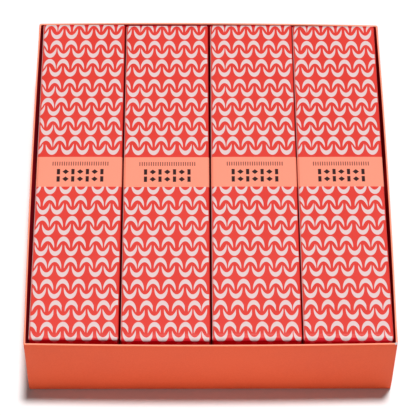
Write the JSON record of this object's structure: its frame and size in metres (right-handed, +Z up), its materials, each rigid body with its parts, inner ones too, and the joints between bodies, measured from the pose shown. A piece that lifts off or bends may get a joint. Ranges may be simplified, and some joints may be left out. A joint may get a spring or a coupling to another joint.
{
  "type": "gift box of boxed biscuits",
  "caption": "Open shallow gift tray of paper-wrapped board, filled by long shut cartons lying side by side, each printed with rows of crescents and a plain label band.",
  "frame": {"origin": "centre of the footprint on the surface the tray stands on", "axes": "+Z up, +Y along the cartons towards the tray's back wall, +X across the cartons"},
  "size_m": [0.2426, 0.2674, 0.0614],
  "materials": {
    "coral_wrap": "uncoated coral paper wrapped over greyboard, matt, paler along the rim",
    "printed_board": "folding boxboard printed red all over with pale pink crescents and a peach label band, satin"
  },
  "bodies": {
    "root": {"tray": "coral_wrap", "carton_1": "printed_board", "carton_2": "printed_board", "carton_3": "printed_board", "carton_4": "printed_board"}
  },
  "joints": []
}
